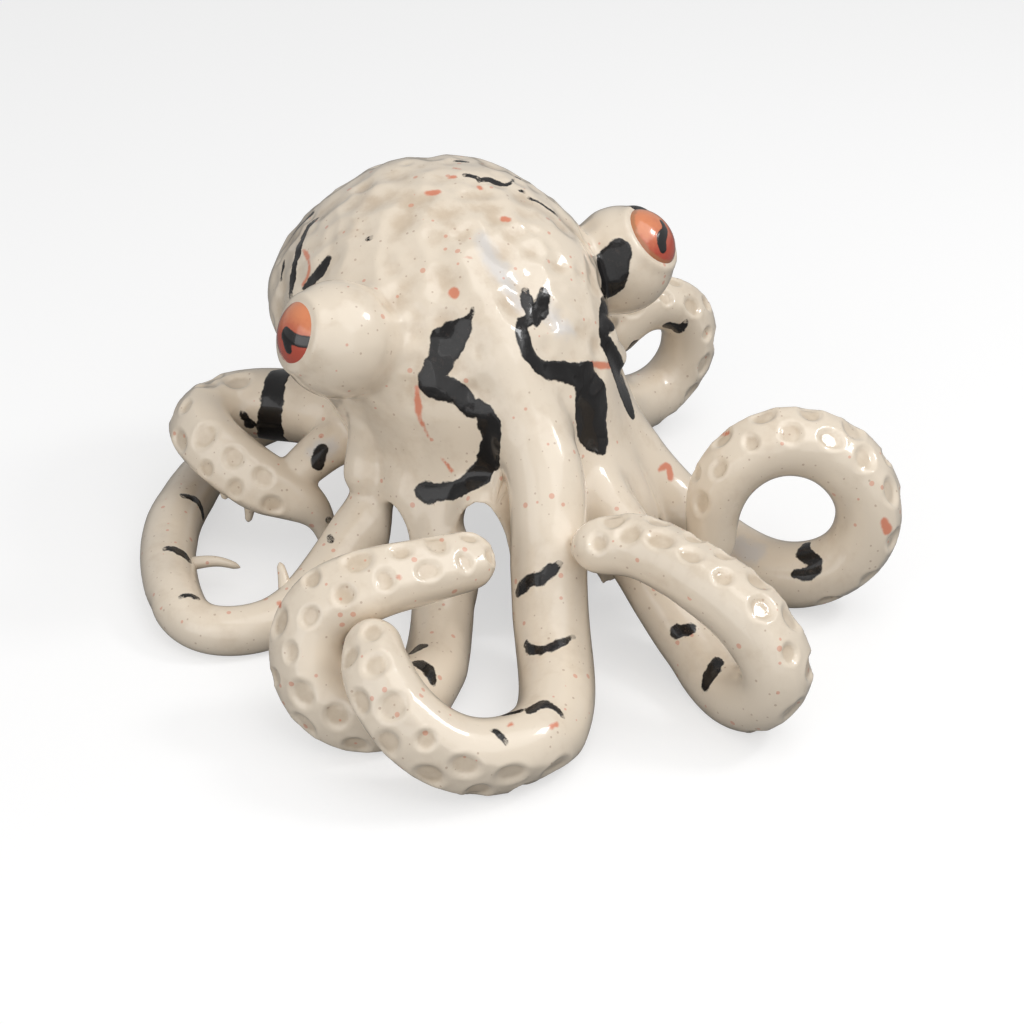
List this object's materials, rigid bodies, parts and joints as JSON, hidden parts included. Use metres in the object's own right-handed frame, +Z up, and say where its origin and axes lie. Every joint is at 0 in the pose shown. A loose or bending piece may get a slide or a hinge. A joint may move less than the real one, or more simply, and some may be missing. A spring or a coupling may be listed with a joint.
{
  "type": "octopus figurine",
  "caption": "Hand-built glazed pottery octopus: a hollow domed body with raised eyes, standing on curling arms pressed with suckers. A free-standing shelf ornament.",
  "frame": {"origin": "under the middle of the whole figure, on the surface that it stands on", "axes": "+Z up; the display front looks along -Y, with +X to the right of someone who faces it"},
  "size_m": [0.2798, 0.2832, 0.142],
  "materials": {
    "ivory_glaze": "glossy warm ivory glaze over pale stoneware, with fine brown and orange specks and brushed black marks",
    "eye_glaze": "glossy coral red glaze with a black brushed pupil"
  },
  "bodies": {
    "root": {"mantle": "ivory_glaze", "skirt": "ivory_glaze", "left_eye_mound": "ivory_glaze", "right_eye_mound": "ivory_glaze", "arm_front": "ivory_glaze", "arm_front_left": "ivory_glaze", "arm_left": "ivory_glaze", "arm_left_rear": "ivory_glaze", "arm_rear": "ivory_glaze", "arm_right": "ivory_glaze", "arm_right_front": "ivory_glaze", "arm_right_rear": "ivory_glaze", "spur_left_curved": "ivory_glaze", "spur_left_rear_inner": "ivory_glaze", "spur_left_rear_outer": "ivory_glaze", "spur_left_upright": "ivory_glaze", "left_eyeball": "eye_glaze", "right_eyeball": "eye_glaze"}
  },
  "joints": []
}
